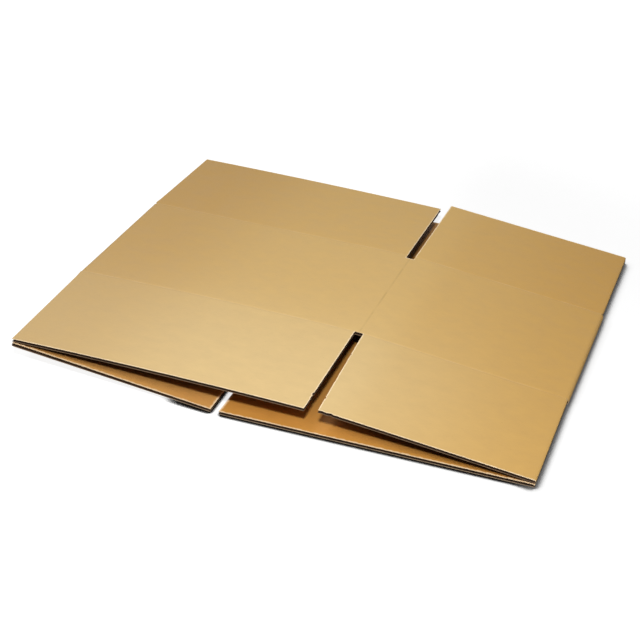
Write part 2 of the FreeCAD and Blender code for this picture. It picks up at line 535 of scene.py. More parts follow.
def out_faces(mesh):
    """Turn the faces of each closed shell outwards, and keep its corners crisp."""
    working = bmesh.new()
    working.from_mesh(mesh)
    bmesh.ops.recalc_face_normals(working, faces=working.faces)
    working.to_mesh(mesh)
    working.free()
    mesh.polygons.foreach_set("use_smooth", [True] * len(mesh.polygons))
    mesh.set_sharp_from_angle(angle=math.radians(40))
    mesh.update()


OUTER, INNER, EDGE, FLUTED = 0, 1, 2, 3

# Added to the depth kept for the inner liner, so that a material can tell the liners apart
INNER_SIDE = 0.05


def add_liners(made, sheet, columns, rows, keep, shape=None, without_pale_rim=()):
    board, liner = sheet.board, sheet.liner
    outside, inside = (0.0, liner), (board - liner, board)
    made.add(sheet, columns, rows, keep, outside, (OUTER, FLUTED, EDGE), shape, 0.0, without_pale_rim)
    made.add(sheet, columns, rows, keep, inside, (FLUTED, INNER, EDGE), shape, INNER_SIDE, without_pale_rim)


# Paper, as node materials


def new_group(name, inputs, outputs):
    group = bpy.data.node_groups.new(name, "ShaderNodeTree")
    for socket, kind, default in inputs:
        made = group.interface.new_socket(socket, in_out="INPUT", socket_type=kind)
        if default is not None:
            made.default_value = default
    for socket, kind in outputs:
        group.interface.new_socket(socket, in_out="OUTPUT", socket_type=kind)
    return group, group.nodes.new("NodeGroupInput"), group.nodes.new("NodeGroupOutput")


def math_node(tree, operation, a, b=None, clamp=False):
    node = tree.nodes.new("ShaderNodeMath")
    node.operation = operation
    node.use_clamp = clamp
    for socket, value in zip(node.inputs, (a, b)):
        if value is None:
            continue
        if isinstance(value, (int, float)):
            socket.default_value = value
        else:
            tree.links.new(value, socket)
    return node.outputs[0]


def stretched(tree, vector, scale):
    node = tree.nodes.new("ShaderNodeVectorMath")
    node.operation = "MULTIPLY"
    tree.links.new(vector, node.inputs[0])
    if isinstance(scale, tuple):
        node.inputs[1].default_value = scale
    else:
        tree.links.new(scale, node.inputs[1])
    return node.outputs[0]


def noise_node(tree, vector, scale, detail, roughness=0.5):
    node = tree.nodes.new("ShaderNodeTexNoise")
    tree.links.new(vector, node.inputs["Vector"])
    if isinstance(scale, (int, float)):
        node.inputs["Scale"].default_value = scale
    else:
        tree.links.new(scale, node.inputs["Scale"])
    node.inputs["Detail"].default_value = detail
    node.inputs["Roughness"].default_value = roughness
    return node.outputs["Fac"]


def ranged(tree, value, low, high, to_low=0.0, to_high=1.0, kind="SMOOTHSTEP"):
    node = tree.nodes.new("ShaderNodeMapRange")
    node.interpolation_type = kind
    tree.links.new(value, node.inputs["Value"])
    for socket, number in (("From Min", low), ("From Max", high), ("To Min", to_low), ("To Max", to_high)):
        if isinstance(number, (int, float)):
            node.inputs[socket].default_value = number
        else:
            tree.links.new(number, node.inputs[socket])
    return node.outputs["Result"]


def mixed(tree, share, a, b, blend="MIX"):
    node = tree.nodes.new("ShaderNodeMix")
    node.data_type = "RGBA"
    node.blend_type = blend
    for socket, value in ((node.inputs[0], share), (node.inputs[6], a), (node.inputs[7], b)):
        if isinstance(value, (int, float)):
            socket.default_value = value
        elif isinstance(value, tuple):
            socket.default_value = (*value[:3], 1.0)
        else:
            tree.links.new(value, socket)
    return node.outputs[2]


def fibre_group():
    """Paper fibres and cloudy formation, drawn out along the sheet's machine direction."""
    group, given, result = new_group(
        "Paper Fibres",
        [
            ("Place", "NodeSocketVector", None),
            ("Cloud Size", "NodeSocketFloat", 0.03),
            ("Fibre Size", "NodeSocketFloat", 0.0011),
        ],
        [("Cloud", "NodeSocketFloat"), ("Fibre", "NodeSocketFloat"), ("Fleck", "NodeSocketFloat")],
    )
    place = given.outputs["Place"]
    drawn = stretched(group, place, (0.7, 1.0, 1.0))
    cloud_scale = math_node(group, "DIVIDE", 1.0, given.outputs["Cloud Size"])
    group.links.new(noise_node(group, drawn, cloud_scale, 5.0, 0.55), result.inputs["Cloud"])
    long_fibres = stretched(group, place, (0.16, 1.0, 1.0))
    fibre_scale = math_node(group, "DIVIDE", 1.0, given.outputs["Fibre Size"])
    group.links.new(noise_node(group, long_fibres, fibre_scale, 4.0, 0.62), result.inputs["Fibre"])
    spots = noise_node(group, stretched(group, place, (0.55, 1.0, 1.0)), 620.0, 1.0, 0.4)
    group.links.new(ranged(group, spots, 0.73, 0.80), result.inputs["Fleck"])
    return group


def crease_group():
    """Light worn fibres along the scores and a darker line along the ridge, broken up as on real board."""
    group, given, result = new_group(
        "Score and Ridge Lines",
        [
            ("Place", "NodeSocketVector", None),
            ("Score", "NodeSocketFloat", 0.0925),
            ("Width", "NodeSocketFloat", 0.0011),
        ],
        [("Line", "NodeSocketFloat"), ("Ridge", "NodeSocketFloat"), ("Bruise", "NodeSocketFloat")],
    )
    apart = group.nodes.new("ShaderNodeSeparateXYZ")
    group.links.new(given.outputs["Place"], apart.inputs[0])
    breaks = noise_node(group, given.outputs["Place"], 34.0, 4.0, 0.6)
    broken = ranged(group, breaks, 0.38, 0.62, 0.15, 1.0)
    from_middle = math_node(group, "ABSOLUTE", apart.outputs["Y"])
    near = math_node(group, "ABSOLUTE", math_node(group, "SUBTRACT", from_middle, given.outputs["Score"]))
    line = ranged(group, near, given.outputs["Width"], 0.0)
    group.links.new(math_node(group, "MULTIPLY", line, broken), result.inputs["Line"])
    bruise = ranged(group, near, 0.006, 0.0005)
    group.links.new(math_node(group, "MULTIPLY", bruise, breaks), result.inputs["Bruise"])
    side = math_node(group, "ABSOLUTE", apart.outputs["X"])
    ridge = ranged(group, side, 0.0016, 0.0)
    group.links.new(math_node(group, "MULTIPLY", ridge, broken), result.inputs["Ridge"])
    return group


def washboard_group():
    """Faint print-through of the flutes on a liner, as a height."""
    group, given, result = new_group(
        "Flute Print",
        [("Place", "NodeSocketVector", None), ("Pitch", "NodeSocketFloat", 0.0078)],
        [("Height", "NodeSocketFloat")],
    )
    apart = group.nodes.new("ShaderNodeSeparateXYZ")
    group.links.new(given.outputs["Place"], apart.inputs[0])
    turns = math_node(group, "DIVIDE", apart.outputs["X"], given.outputs["Pitch"])
    wave = math_node(group, "COSINE", math_node(group, "MULTIPLY", turns, 2 * math.pi))
    half = math_node(group, "MULTIPLY", wave, 0.5)
    group.links.new(math_node(group, "ADD", half, 0.5), result.inputs["Height"])
    return group


def painted_light_group():
    """Where the paper gets its painted light and shade, from its place on the blank: the front and the front
    flap, the back flap, the right, the left, the middle and the lower flaps' lip.
    """
    group, given, result = new_group(
        "Painted Light Tone",
        [("Place", "NodeSocketVector", None)],
        [
            ("Front", "NodeSocketFloat"),
            ("Back", "NodeSocketFloat"),
            ("Right", "NodeSocketFloat"),
            ("Left", "NodeSocketFloat"),
            ("Middle", "NodeSocketFloat"),
            ("Lip", "NodeSocketFloat"),
        ],
    )
    apart = group.nodes.new("ShaderNodeSeparateXYZ")
    group.links.new(given.outputs["Place"], apart.inputs[0])
    # Painted light, strongest toward the front and on the front flap, weaker toward the right
    broad = ranged(group, apart.outputs["Y"], 0.02, -0.20, 0.0, 0.6)
    flap = ranged(group, apart.outputs["Y"], -0.0910, -0.0940, 0.0, 0.4)
    right = ranged(group, apart.outputs["X"], 0.02, 0.23)
    less = math_node(group, "SUBTRACT", 1.0, math_node(group, "MULTIPLY", right, 0.9))
    front = math_node(group, "MULTIPLY", math_node(group, "ADD", broad, flap), less)
    group.links.new(front, result.inputs["Front"])
    group.links.new(ranged(group, apart.outputs["Y"], 0.0910, 0.0940), result.inputs["Back"])
    group.links.new(right, result.inputs["Right"])
    group.links.new(ranged(group, apart.outputs["X"], -0.08, -0.30), result.inputs["Left"])
    risen = ranged(group, apart.outputs["X"], -0.26, -0.13)
    fallen = ranged(group, apart.outputs["X"], 0.06, 0.01)
    group.links.new(math_node(group, "MULTIPLY", risen, fallen), result.inputs["Middle"])
    # Painted light on the inside near the lower flaps' front edge, where light reaches under the upper flaps
    group.links.new(ranged(group, apart.outputs["Y"], -0.198, -0.240, kind="LINEAR"), result.inputs["Lip"])
    return group


def blank_place(tree):
    node = tree.nodes.new("ShaderNodeAttribute")
    node.attribute_name = "blank"
    return node.outputs["Vector"]


def placed_group(tree, group, **values):
    node = tree.nodes.new("ShaderNodeGroup")
    node.node_tree = group
    for name, value in values.items():
        socket = node.inputs[name.replace("_", " ")]
        if isinstance(value, (int, float)):
            socket.default_value = value
        else:
            tree.links.new(value, socket)
    return node.outputs


def new_material(name, roughness, specular):
    material = bpy.data.materials.new(name)
    material.use_nodes = True
    tree = material.node_tree
    shader = tree.nodes["Principled BSDF"]
    shader.inputs["Roughness"].default_value = roughness
    shader.inputs["Specular IOR Level"].default_value = specular
    return material, tree, shader


def scaled(colour, factor):
    return tuple(min(1.0, c * factor) for c in colour)


# Painted light and shade: multipliers of a liner's colour where each broad tone is at its full, lighter
# toward the front, the middle and the lower flaps' lip, darker at the back, the right and the left
OUTSIDE_PAINTED_LIGHT = {
    "Front": (1.03, 1.12, 1.40),
    "Back": (0.985, 0.955, 0.89),
    "Right": (0.90, 0.835, 0.68),
    "Left": (0.88, 0.86, 0.86),
    "Middle": (1.05, 1.085, 1.16),
}
INSIDE_PAINTED_LIGHT = {
    "Front": (1.08, 1.14, 1.48),
    "Right": (0.93, 0.88, 0.80),
    "Left": (0.88, 0.86, 0.86),
    "Lip": (1.46, 1.46, 1.34),
}


def kraft_material(name, colour, finish, board, groups, cloud_size, line_strength, painted_tones, wear_and_highlight_reach):
    """A liner's face: mottled kraft with fibres, flecks and worn scores, a pale rim of wear and painted
    highlight at its cut edges, broad painted light and shade, and on the inside painted shade in deep gaps.
    """
    material, tree, shader = new_material(name, finish.roughness, 0.32)
    place = blank_place(tree)
    fibres = placed_group(tree, groups["fibres"], Place=place, Cloud_Size=cloud_size)
    creases = placed_group(tree, groups["creases"], Place=place)
    pale = tuple(c * (1.0 + finish.mottle) for c in colour)
    deep = tuple(c * (1.0 - more * finish.mottle) for c, more in zip(colour, (1.0, 1.3, 1.9)))
    cloud = ranged(tree, fibres["Cloud"], 0.32, 0.68, kind="LINEAR")
    base = mixed(tree, cloud, deep, pale)
    thin = ranged(tree, fibres["Fibre"], 0.3, 0.8, 0.0, 0.30)
    base = mixed(tree, thin, base, scaled(colour, 1.12))
    base = mixed(tree, math_node(tree, "MULTIPLY", fibres["Fleck"], 0.28), base, scaled(colour, 0.6))
    # Broad painted light and shade, multiplied into the colour
    painted_light_masks = placed_group(tree, groups["fade"], Place=place)
    for output, tone in painted_tones.items():
        base = mixed(tree, painted_light_masks[output], base, tone, "MULTIPLY")
    if painted_tones is INSIDE_PAINTED_LIGHT:
        # Painted shade: the inside kraft darkened where little open air reaches it, in deep gaps under the
        # upper flaps and in the slots
        painted_shade_ao = tree.nodes.new("ShaderNodeAmbientOcclusion")
        painted_shade_ao.samples = 8
        painted_shade_ao.inputs["Distance"].default_value = 0.03
        painted_shade = ranged(tree, painted_shade_ao.outputs["AO"], 0.43, 0.24)
        base = mixed(tree, painted_shade, base, (0.28, 0.24, 0.20), "MULTIPLY")
    line = math_node(tree, "MULTIPLY", creases["Line"], line_strength)
    base = mixed(tree, line, base, tuple(finish.wear_and_highlight))
    base = mixed(tree, math_node(tree, "MULTIPLY", creases["Ridge"], 0.45), base, scaled(colour, 0.72))
    # Pale rim along each cut edge: worn fibres and a painted highlight of the edge catching light
    gap = tree.nodes.new("ShaderNodeAttribute")
    gap.attribute_name = "edge_gap"
    wear_and_highlight = noise_node(tree, place, 260.0, 3.0, 0.6)
    reach = ranged(tree, wear_and_highlight, 0.3, 0.7, 0.6 * wear_and_highlight_reach, 1.4 * wear_and_highlight_reach)
    rim = ranged(tree, gap.outputs["Fac"], reach, 0.0004)
    base = mixed(tree, math_node(tree, "MULTIPLY", rim, 0.88), base, tuple(finish.wear_and_highlight))
    tree.links.new(base, shader.inputs["Base Color"])
    rough = ranged(tree, fibres["Cloud"], 0.3, 0.7, finish.roughness - 0.06, finish.roughness + 0.08)
    tree.links.new(rough, shader.inputs["Roughness"])
    printed = placed_group(tree, groups["print"], Place=place, Pitch=board.pitch)
    height = math_node(tree, "MULTIPLY", printed["Height"], 0.10)
    height = math_node(tree, "ADD", height, math_node(tree, "MULTIPLY", fibres["Fibre"], 0.5))
    height = math_node(tree, "ADD", height, math_node(tree, "MULTIPLY", fibres["Cloud"], 0.8))
    height = math_node(tree, "SUBTRACT", height, math_node(tree, "MULTIPLY", creases["Bruise"], 1.2))
    bump = tree.nodes.new("ShaderNodeBump")
    bump.inputs["Strength"].default_value = 0.35
    bump.inputs["Distance"].default_value = 0.0001
    tree.links.new(height, bump.inputs["Height"])
    tree.links.new(bump.outputs["Normal"], shader.inputs["Normal"])
    return material


def edge_material(finish, groups):
    """Torn fibres of a cut liner: pale, uneven and matt, with the inner liner's cut edge darkened as painted
    shade.
    """
    material, tree, shader = new_material("cut_liner_edge", 0.8, 0.2)
    place = blank_place(tree)
    fibres = placed_group(tree, groups["fibres"], Place=place, Cloud_Size=0.006, Fibre_Size=0.0006)
    colour = tuple(finish.edge)
    base = mixed(tree, ranged(tree, fibres["Cloud"], 0.35, 0.65), scaled(colour, 0.78), scaled(colour, 1.06))
    base = mixed(tree, math_node(tree, "MULTIPLY", fibres["Fibre"], 0.35), base, scaled(colour, 0.6))
    apart = tree.nodes.new("ShaderNodeSeparateXYZ")
    tree.links.new(place, apart.inputs[0])
    # Painted shade: the inner liner's cut edge darkened, as under the upper flaps
    inner = ranged(tree, apart.outputs["Z"], INNER_SIDE - 0.005, INNER_SIDE, kind="LINEAR")
    base = mixed(tree, inner, base, (0.60, 0.54, 0.50), "MULTIPLY")
    tree.links.new(base, shader.inputs["Base Color"])
    bump = tree.nodes.new("ShaderNodeBump")
    bump.inputs["Strength"].default_value = 0.5
    bump.inputs["Distance"].default_value = 0.0001
    tree.links.new(fibres["Fibre"], bump.inputs["Height"])
    tree.links.new(bump.outputs["Normal"], shader.inputs["Normal"])
    return material


def fluted_material(finish, groups):
    """Recycled paper of the flutes: its own darker brown, deepened as painted shade of the gap between the
    liners.
    """
    material, tree, shader = new_material("fluted_paper", 0.85, 0.2)
    place = blank_place(tree)
    fibres = placed_group(tree, groups["fibres"], Place=place, Cloud_Size=0.012, Fibre_Size=0.0008)
    colour = tuple(finish.fluted_shaded)
    base = mixed(tree, ranged(tree, fibres["Cloud"], 0.3, 0.7), scaled(colour, 0.75), scaled(colour, 1.3))
    base = mixed(tree, math_node(tree, "MULTIPLY", fibres["Fibre"], 0.4), base, scaled(colour, 0.6))
    tree.links.new(base, shader.inputs["Base Color"])
    return material


def paper_materials():
    """The four papers, made once and shared by all the pieces."""
    finish, board = bpy.context.scene.carton_finish, bpy.context.scene.carton_board
    if bpy.data.materials.get("kraft_outside") is None:
        groups = {
            "fibres": fibre_group(),
            "creases": crease_group(),
            "print": washboard_group(),
            "fade": painted_light_group(),
        }
        outer, inner = tuple(finish.outer), tuple(finish.inner)
        kraft_material("kraft_outside", outer, finish, board, groups, 0.015, 0.16, OUTSIDE_PAINTED_LIGHT, 0.0015)
        kraft_material("kraft_inside", inner, finish, board, groups, 0.012, 0.12, INSIDE_PAINTED_LIGHT, 0.0024)
        edge_material(finish, groups)
        fluted_material(finish, groups)
    names = ("kraft_outside", "kraft_inside", "cut_liner_edge", "fluted_paper")
    return [bpy.data.materials[name] for name in names]


# Fluted paper, by geometry nodes


def flute_tree():
    """A flat sheet of fluted paper: a wave across the flutes, given its thickness and closed."""
    tree = bpy.data.node_groups.get("Fluted Paper")
    if tree is not None:
        return tree
    tree = bpy.data.node_groups.new("Fluted Paper", "GeometryNodeTree")
    face = tree.interface
    for name, kind, value in (
        ("Width", "NodeSocketFloat", 0.3),
        ("Depth", "NodeSocketFloat", 0.15),
        ("Pitch", "NodeSocketFloat", 0.0078),
        ("Height", "NodeSocketFloat", 0.0027),
        ("Paper", "NodeSocketFloat", 0.0003),
        ("Steps per Flute", "NodeSocketInt", 8),
        ("Rows", "NodeSocketInt", 12),
        ("Material", "NodeSocketMaterial", None),
    ):
        socket = face.new_socket(name, in_out="INPUT", socket_type=kind)
        if value is not None:
            socket.default_value = value
    face.new_socket("Geometry", in_out="OUTPUT", socket_type="NodeSocketGeometry")
    nodes, links = tree.nodes, tree.links
    given, result = nodes.new("NodeGroupInput"), nodes.new("NodeGroupOutput")
    flutes = math_node(tree, "DIVIDE", given.outputs["Width"], given.outputs["Pitch"])
    steps = math_node(tree, "MULTIPLY", flutes, given.outputs["Steps per Flute"])
    steps = math_node(tree, "ADD", math_node(tree, "ROUND", steps), 1.0)
    grid = nodes.new("GeometryNodeMeshGrid")
    links.new(given.outputs["Width"], grid.inputs["Size X"])
    links.new(given.outputs["Depth"], grid.inputs["Size Y"])
    links.new(steps, grid.inputs["Vertices X"])
    links.new(given.outputs["Rows"], grid.inputs["Vertices Y"])
    place = nodes.new("GeometryNodeInputPosition")
    apart = nodes.new("ShaderNodeSeparateXYZ")
    links.new(place.outputs[0], apart.inputs[0])
    phase = math_node(tree, "DIVIDE", apart.outputs["X"], given.outputs["Pitch"])
    wave_height = math_node(tree, "COSINE", math_node(tree, "MULTIPLY", phase, 2 * math.pi))
    half_height = math_node(tree, "DIVIDE", given.outputs["Height"], 2.0)
    lift = math_node(tree, "MULTIPLY", wave_height, half_height)
    offset = nodes.new("ShaderNodeCombineXYZ")
    links.new(lift, offset.inputs["Z"])
    wave = nodes.new("GeometryNodeSetPosition")
    links.new(grid.outputs["Mesh"], wave.inputs["Geometry"])
    links.new(offset.outputs[0], wave.inputs["Offset"])
    thick = nodes.new("GeometryNodeExtrudeMesh")
    thick.inputs["Individual"].default_value = False
    links.new(wave.outputs["Geometry"], thick.inputs["Mesh"])
    links.new(given.outputs["Paper"], thick.inputs["Offset Scale"])
    under = nodes.new("GeometryNodeFlipFaces")
    links.new(wave.outputs["Geometry"], under.inputs["Mesh"])
    whole = nodes.new("GeometryNodeJoinGeometry")
    links.new(thick.outputs["Mesh"], whole.inputs["Geometry"])
    links.new(under.outputs["Mesh"], whole.inputs["Geometry"])
    closed = nodes.new("GeometryNodeMergeByDistance")
    closed.inputs["Distance"].default_value = 1e-6
    links.new(whole.outputs["Geometry"], closed.inputs["Geometry"])
    real = nodes.new("GeometryNodeRealizeInstances")
    links.new(closed.outputs["Geometry"], real.inputs["Geometry"])
    finish = nodes.new("GeometryNodeSetMaterial")
    links.new(real.outputs["Geometry"], finish.inputs["Geometry"])
    links.new(given.outputs["Material"], finish.inputs["Material"])
    links.new(finish.outputs["Geometry"], result.inputs["Geometry"])
    return tree


def fluted_sheet(board, width, depth, rows, material):
    """Runs the tree for one panel or flap, and returns its plain mesh."""
    carrier = bpy.data.objects.new("flute_carrier", bpy.data.meshes.new("flute_carrier"))
    bpy.context.scene.collection.objects.link(carrier)
    modifier = carrier.modifiers.new("flutes", "NODES")
    tree = flute_tree()
    modifier.node_group = tree
    values = {
        "Width": width,
        "Depth": depth,
        "Pitch": board.pitch,
        "Height": board.board - 2 * board.liner - board.paper,
        "Paper": board.paper,
        "Steps per Flute": board.steps,
        "Rows": rows,
        "Material": material,
    }
    for item in tree.interface.items_tree:
        if item.item_type == "SOCKET" and item.in_out == "INPUT":
            modifier[item.identifier] = values[item.name]
    bpy.context.view_layer.update()
    made = bpy.data.meshes.new_from_object(carrier.evaluated_get(bpy.context.evaluated_depsgraph_get()))
    carrier.modifiers.remove(modifier)
    bpy.data.objects.remove(carrier)
    return made


def lay_flutes(board, sheet, name, spans, material, narrow=None):
    """Fluted paper of one body, laid between the liners of each panel or flap in spans."""
    points, faces, blank = [], [], []
    for panel, low_u, high_u, low_y, high_y in spans:
        rows = max(2, round((high_y - low_y) / 0.02) + 1)
        flat = fluted_sheet(board, high_u - low_u, high_y - low_y, rows, material)
        first = len(points)
        for vertex in flat.vertices:
            u = (low_u + high_u) / 2 + vertex.co.x
            y = (low_y + high_y) / 2 + vertex.co.y
            if narrow is not None:
                u = narrow(u, y)
            rise = board.board / 2 + vertex.co.z - board.paper / 2
            column = sheet.column(panel, u)
            depth = board.board - rise if sheet.panels[panel].top_is_outer else rise
            points.append(sheet.point(column, y, depth))
            blank.append((column.along, y, 0.1 + depth))
        faces += [[first + v for v in face.vertices] for face in flat.polygons]
        bpy.data.meshes.remove(flat)
    mesh = bpy.data.meshes.new(name)
    mesh.from_pydata(points, [], faces)
    mesh.materials.append(material)
    mesh.attributes.new("blank", "FLOAT_VECTOR", "POINT").data.foreach_set(
        "vector", np.array(blank, np.float32).ravel()
    )
    out_faces(mesh)
    piece = bpy.data.objects.new(name, mesh)
    bpy.context.scene.collection.objects.link(piece)
    return piece


# Pieces


def strip_columns(sheet, form):
    """Columns round the whole sleeve, and the zone of each cell between two columns."""
    columns, zones = [], []
    panels = sheet.panels
    step = form.cell

    def run(name, values, zone_of):
        for u in values:
            columns.append(sheet.column(name, u))
            zones.append(zone_of(u))

    short = panels["lower_short"]
    tab_tip = short.run + 0.001 - form.tab
    for u in spaced(tab_tip, short.run - 0.0005, step, [(tab_tip, EDGE_IN)]):
        columns.append(Column(short.at(u, -sheet.board), short.at(u, 0.0), 0.9 + u, None))
        zones.append("tab")
    columns.append(Column((sheet.joint_x, 0.0), sheet.joint_corner, 0.9 + short.run + 0.001, None))
    zones.append("lower_slot")
    half = sheet.half_slot
    long_run = panels["lower_long"].run
    edges = [(half, [0.0] + EDGE_IN), (long_run, EDGE_OUT)]
    values = spaced(0.001, long_run, step, edges)
    run("lower_long", values, lambda u: "lower_slot" if u < half - 1e-6 else "lower")
    zones[-1] = "fold"
    start = columns[-1].along
    right = sheet.arc(
        sheet.right_fold, -sheet.quarter, sheet.quarter - sheet.upper_slope, start, -1.0
    )
    for column in right:
        columns.append(column)
        zones.append("fold")
    short_run = panels["upper_short"].run
    places = [(half, [0.0]), (0.0, [0.0006, 0.0012, 0.002]), (short_run, [-0.002])]
    values = spaced(0.0006, short_run, step, places)
    for u in reversed(values):
        columns.append(sheet.column("upper_short", u))
        zones.append("upper_slot" if u < half + 1e-6 else "upper")
    columns.append(Column((sheet.ridge_x, form.height), sheet.ridge_inside, 0.0, panels["upper_short"], 0.0))
    zones.append("upper_slot")
    long_top = panels["upper_long"].run
    places = [(long_top - half, [0.0]), (long_top, [-0.0006, -0.0012, -0.002]), (0.0, [0.002])]
    values = spaced(0.0, long_top - 0.0006, step, places)
    for u in reversed(values):
        columns.append(sheet.column("upper_long", u))
        zones.append("upper" if u < long_top - half + 1e-6 else "upper_slot")
    zones[-1] = "fold"
    start = columns[-1].along
    left = sheet.arc(
        sheet.left_fold, sheet.quarter, 3 * sheet.quarter - sheet.lower_slope, start, -1.0
    )
    for column in left:
        columns.append(column)
        zones.append("fold")
    end = sheet.lower_slot_end
    places = [(end, [0.0] + EDGE_OUT), (0.0, EDGE_IN)]
    values = spaced(0.0, short.run, step, places)
    run("lower_short", values, lambda u: "lower_slot" if u > end - 1e-6 else "lower")
    return columns, zones[:-1]


def eared(sheet, panel, u, y, low_ear, high_ear):
    """Flaps stand out past the flat panel at a fold, from just beyond their score."""
    out = min(1.0, max(0.0, (abs(y) - sheet.score) / 0.0014))
    reach = 0.014
    if high_ear and u > panel.run - reach:
        u += sheet.ear * out * ((u - panel.run + reach) / reach)
    if low_ear and u < reach:
        u -= sheet.ear * out * ((reach - u) / reach)
    return u


def build_sleeve():
    scene = bpy.context.scene
    board, form = scene.carton_board, scene.carton_form
    sheet = FoldedSheet(board, form)
    columns, zones = strip_columns(sheet, form)
    near = [
        (-sheet.score, SCORE_ROWS),
        (sheet.score, SCORE_ROWS),
        (sheet.score - form.slot_overrun, [0.0, -0.0008, -0.002]),
        (-sheet.flap_end, EDGE_IN),
        (sheet.flap_end, EDGE_OUT),
    ]
    rows = spaced(-sheet.flap_end, sheet.flap_end, form.cell, near)
    seam = sheet.seam
    overrun = sheet.score - form.slot_overrun

    def keep(i, y):
        zone = zones[i]
        if zone in ("tab", "fold"):
            return abs(y) < sheet.score
        if zone == "upper":
            return abs(y) < seam
        if zone == "lower":
            return True
        return -sheet.score < y < overrun

    def shape(i, j, column, y):
        panel = column.panel
        if panel is None:
            if column.along > 0.9 - 1e-6 and i < tab_count:
                tip = (tab_count - i) / tab_count
                half = sheet.score - 0.003 - 0.012 * tip
                return column, max(-half, min(half, y))
            return column, y
        if panel.name.startswith("lower") and abs(y) > sheet.score:
            u = column.share * panel.run
            u = eared(sheet, panel, u, y, panel.name == "lower_short", panel.name == "lower_long")
            return sheet.column(panel.name, u), y
        return column, y

    tab_count = zones.index("lower_slot")
    made = SheetMesh()
    add_liners(made, sheet, columns, rows, keep, shape)

    def keep_fold(i, y):
        return zones[i] == "fold" and abs(y) < sheet.score - 0.0005

    core = (sheet.liner, sheet.board - sheet.liner)
    made.add(sheet, columns, rows, keep_fold, core, (FLUTED, FLUTED, FLUTED), None, 0.1)
    piece = made.finished("sleeve_liners", paper_materials())
    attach(piece, "box")
    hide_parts("box_sleeve")
    inset = sheet.flap_end - board.recess
    half, run = sheet.half_slot, sheet.panels["lower_long"].run
    spans = [
        ("lower_long", half + 0.001, run + sheet.ear - 0.003, -inset, inset),
        ("lower_short", -sheet.ear + 0.003, sheet.lower_slot_end - 0.001, -inset, inset),
        ("upper_long", 0.0, sheet.panels["upper_long"].run - half, -seam, seam),
        ("upper_short", half, sheet.panels["upper_short"].run, -seam, seam),
    ]
    flutes = lay_flutes(board, sheet, "sleeve_flutes", spans, paper_materials()[FLUTED])
    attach(flutes, "box")


def build_flap(body, panel_name, side, taper, edge_key):
    """Liners and flutes of one upper flap, bending from the sleeve at its score."""
    scene = bpy.context.scene
    board, form = scene.carton_board, scene.carton_form
    sheet = FoldedSheet(board, form)
    panel = sheet.panels[panel_name]
    long_one = panel_name == "upper_long"
    low = 0.0 if long_one else sheet.half_slot
    high = panel.run - sheet.half_slot if long_one else panel.run
    slot_u = high if long_one else low
    ends = [(low, EDGE_IN), (high, EDGE_OUT)]
    for name, where, half, _ in NICKS:
        if name == edge_key + "_end":
            ends.append((where - panel.at(0.0, 0.0)[0], both(0.0, half / 3, half * 2 / 3, half)))
    values = spaced(low, high, form.cell, ends)
    seam = sheet.seam
    near = [(side * sheet.score, SCORE_ROWS), (side * sheet.flap_end, EDGE_OUT if side > 0 else EDGE_IN)]
    for name, where, half, _ in NICKS:
        if name == edge_key + "_slot":
            near.append((where, both(0.0, half / 3, half * 2 / 3, half)))
    first, last = sorted((side * seam, side * sheet.flap_end))
    rows = spaced(first, last, 0.0055, near)
    columns = [sheet.column(panel_name, u) for u in values]

    def pulled(u, y):
        drawn = taper * max(0.0, abs(y) - sheet.score) / form.flap_depth
        if long_one:
            return u - drawn * (u - low) / (high - low)
        return u + drawn * (high - u) / (high - low)

    def shape(i, j, column, y):
        u = values[i]
        inward = 1.0 if slot_u == low else -1.0
        gap = abs(u - slot_u)
        if gap < 0.004 and abs(y) > sheet.score:
            u += inward * ragged(edge_key + "_slot", y, 3.7 + side) * (1.0 - gap / 0.004)
        u = eared(sheet, panel, u, y, long_one, not long_one)
        u = pulled(u, y)
        gap = sheet.flap_end - abs(y)
        if gap < 0.004:
            x = sheet.column(panel_name, u).outer[0]
            y -= side * ragged(edge_key + "_end", x, 8.3 + side) * (1.0 - gap / 0.004)
        return sheet.column(panel_name, u), y

    made = SheetMesh()
    at_fold = 0 if long_one else len(columns) - 1
    add_liners(made, sheet, columns, rows, lambda i, y: True, shape, (at_fold,))
    piece = made.finished(body + "_liners", paper_materials())
    inset = sheet.flap_end - board.recess
    past_bend = sheet.score + form.seam
    first, last = sorted((side * past_bend, side * inset))
    spans = [(panel_name, low + 0.0012, high - 0.0012, first, last)]
    flutes = lay_flutes(board, sheet, body + "_flutes", spans, paper_materials()[FLUTED], pulled)
    for made_piece in (piece, flutes):
        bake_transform(made_piece)
    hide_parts(body)


FLOOR_REACH = 40.0
FLOOR_LEVEL = -0.0008


